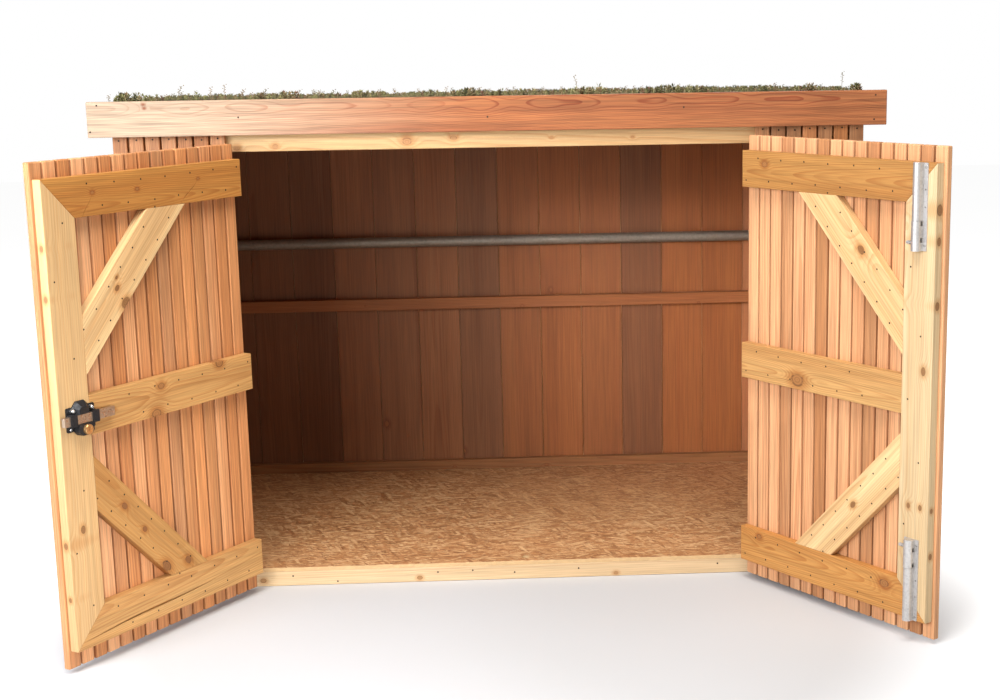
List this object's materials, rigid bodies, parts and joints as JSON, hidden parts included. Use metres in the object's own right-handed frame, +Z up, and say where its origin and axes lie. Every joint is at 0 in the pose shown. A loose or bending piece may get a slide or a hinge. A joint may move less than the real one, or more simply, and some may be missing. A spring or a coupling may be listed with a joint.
{
  "type": "bike shelter",
  "caption": "Low timber bike shelter with slatted walls, a living roof, two ledged and braced double doors, tower bolts, a sliding lock and a security bar.",
  "frame": {"origin": "on the ground, in the middle of the floor frame", "axes": "+X to the right seen from the front, +Y from the doorway to the back wall, +Z up"},
  "size_m": [2.1495, 1.7766, 1.367],
  "materials": {
    "cedar": "sawn and planed, oiled",
    "stained_board": "sawn, stained",
    "treated_pine": "planed, treated",
    "softwood": "planed",
    "strand_board": "pressed strands",
    "living_roof": "matt, planted mat",
    "galvanised_steel": "galvanised",
    "bright_steel": "plated, worn",
    "black_iron": "black coated",
    "brass": "worn"
  },
  "bodies": {
    "shelter": {"front_panel_left": "cedar", "front_panel_right": "cedar", "side_wall_left": "cedar", "side_wall_right": "cedar", "fascia_front": "cedar", "fascia_back": "cedar", "fascia_left": "cedar", "fascia_right": "cedar", "back_wall": "stained_board", "sill": "softwood", "lintel": "softwood", "door_posts": "softwood", "corner_posts": "softwood", "front_rails": "softwood", "back_rails": "softwood", "side_rails_left": "softwood", "side_rails_right": "softwood", "floor_joists": "softwood", "floor_back_beam": "softwood", "roof_joists": "softwood", "floor_deck": "strand_board", "roof_deck": "strand_board", "living_roof_mat": "living_roof", "security_bar": "galvanised_steel", "bar_flanges": "galvanised_steel", "hinge_plates_left": "galvanised_steel", "hinge_plates_right": "galvanised_steel"},
    "left_door": {"left_door_battens": "cedar", "left_door_ledges": "treated_pine", "left_door_stile": "softwood", "left_door_braces": "softwood", "left_door_hinge_straps": "galvanised_steel", "lock_case": "black_iron", "lock_cylinder": "brass"},
    "right_door": {"right_door_battens": "cedar", "right_door_ledges": "treated_pine", "right_door_stile": "softwood", "right_door_braces": "softwood", "right_door_hinge_straps": "galvanised_steel", "top_bolt_case": "galvanised_steel", "bottom_bolt_case": "galvanised_steel"},
    "top_bolt": {"top_bolt": "galvanised_steel"},
    "bottom_bolt": {"bottom_bolt": "galvanised_steel"},
    "lock_bar": {"lock_bar": "bright_steel"}
  },
  "joints": [
    {"name": "left_door_hinge", "type": "hinge", "parent": "shelter", "child": "left_door", "pos_m": [-0.7035, -0.5595, 0.62725], "axis": [0, 0, 1], "range_deg": [-53.5, 121.5]},
    {"name": "right_door_hinge", "type": "hinge", "parent": "shelter", "child": "right_door", "pos_m": [0.7035, -0.5595, 0.62725], "axis": [0, 0, -1], "range_deg": [-51.5, 123.5]},
    {"name": "top_bolt_slide", "type": "slide", "parent": "right_door", "child": "top_bolt", "axis": [0, 0, 1], "range_m": [0, 0.035]},
    {"name": "bottom_bolt_slide", "type": "slide", "parent": "right_door", "child": "bottom_bolt", "axis": [0, 0, -1], "range_m": [0, 0.035]},
    {"name": "lock_bar_slide", "type": "slide", "parent": "left_door", "child": "lock_bar", "axis": [-0.5225, -0.8526, 0], "range_m": [0, 0.06]}
  ]
}
